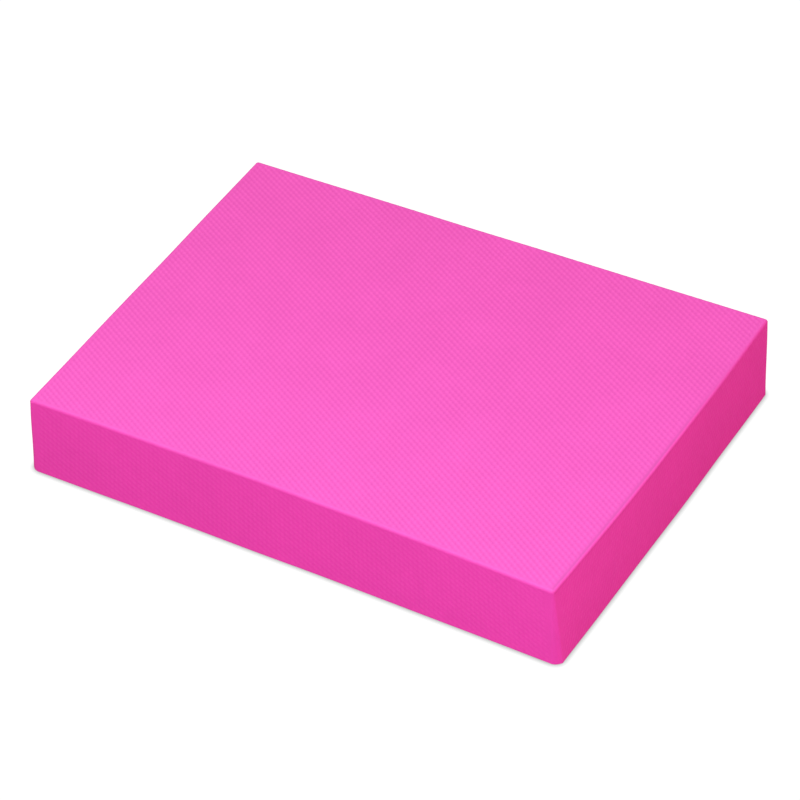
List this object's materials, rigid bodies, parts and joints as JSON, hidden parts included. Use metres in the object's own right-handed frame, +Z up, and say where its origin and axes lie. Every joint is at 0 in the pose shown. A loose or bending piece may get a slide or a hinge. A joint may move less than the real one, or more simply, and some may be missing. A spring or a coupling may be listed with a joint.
{
  "type": "foam balance pad",
  "caption": "Rectangular foam balance pad: an embossed foam sheet folded over a stack of laminated foam sheets, with an embossed base.",
  "frame": {"origin": "middle of the underside, on the surface that the pad lies on", "axes": "+X along the length, +Y along the width towards the back, +Z up through the thickness"},
  "size_m": [0.4, 0.3, 0.06],
  "materials": {
    "embossed_skin": "matt, finely embossed with a dotted lattice",
    "foam_core": "matt cut closed-cell foam"
  },
  "bodies": {
    "root": {"cover_sheet": "embossed_skin", "base_sheet": "embossed_skin", "core_sheet_1": "foam_core", "core_sheet_2": "foam_core", "core_sheet_3": "foam_core", "core_sheet_4": "foam_core", "core_sheet_5": "foam_core"}
  },
  "joints": []
}
